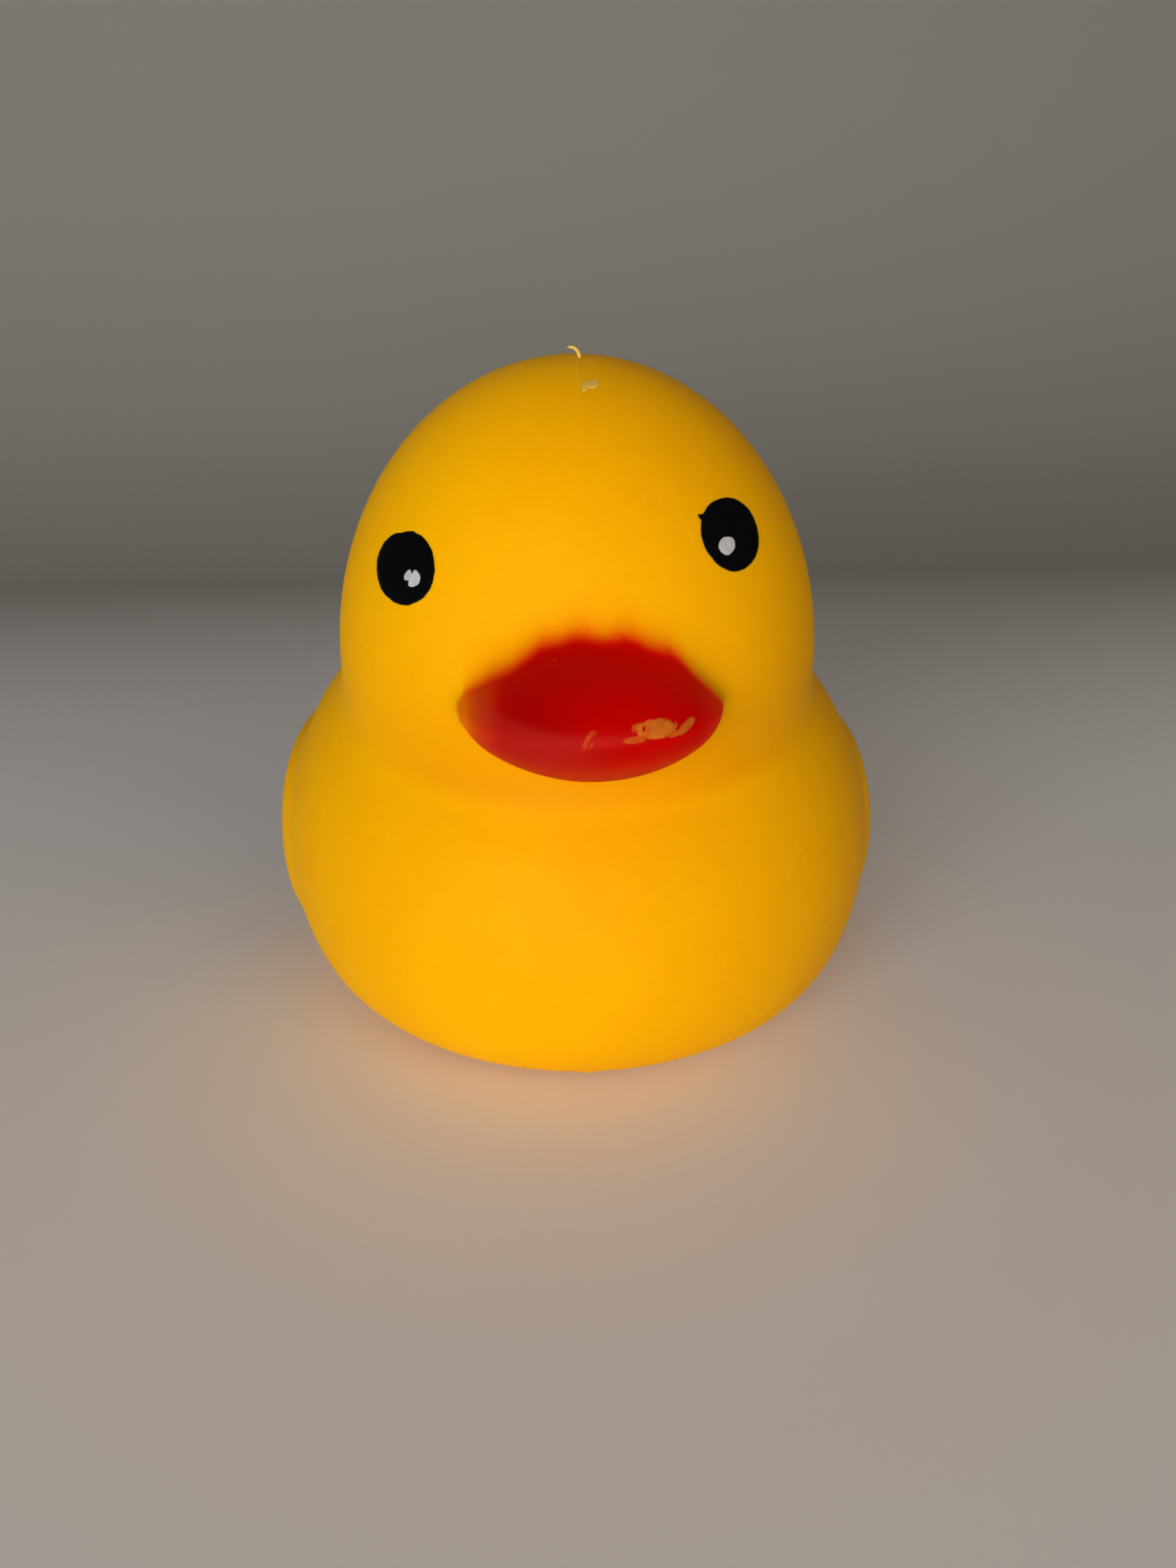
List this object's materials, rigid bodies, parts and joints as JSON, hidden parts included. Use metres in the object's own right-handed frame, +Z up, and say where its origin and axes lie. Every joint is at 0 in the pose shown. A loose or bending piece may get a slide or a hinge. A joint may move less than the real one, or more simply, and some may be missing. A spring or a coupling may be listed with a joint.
{
  "type": "squeeze toy duck",
  "caption": "Soft hollow toy duck with a domed head, a wide lens-shaped bill, low wing pads and a short upturned tail. It stands on a flat base and is squeezed in the hand.",
  "frame": {"origin": "centre of the bounding box at the level of the base that the duck stands on", "axes": "+Z up, the bill towards -Y and the tail towards +Y, +X towards the duck's own left wing"},
  "size_m": [0.0756, 0.095, 0.075],
  "materials": {
    "vinyl": "satin soft vinyl, a little translucent, with a gloss red bill",
    "eye_black": "matte black print",
    "eye_white": "matte white print"
  },
  "bodies": {
    "root": {"duck_body": "vinyl"}
  },
  "joints": []
}
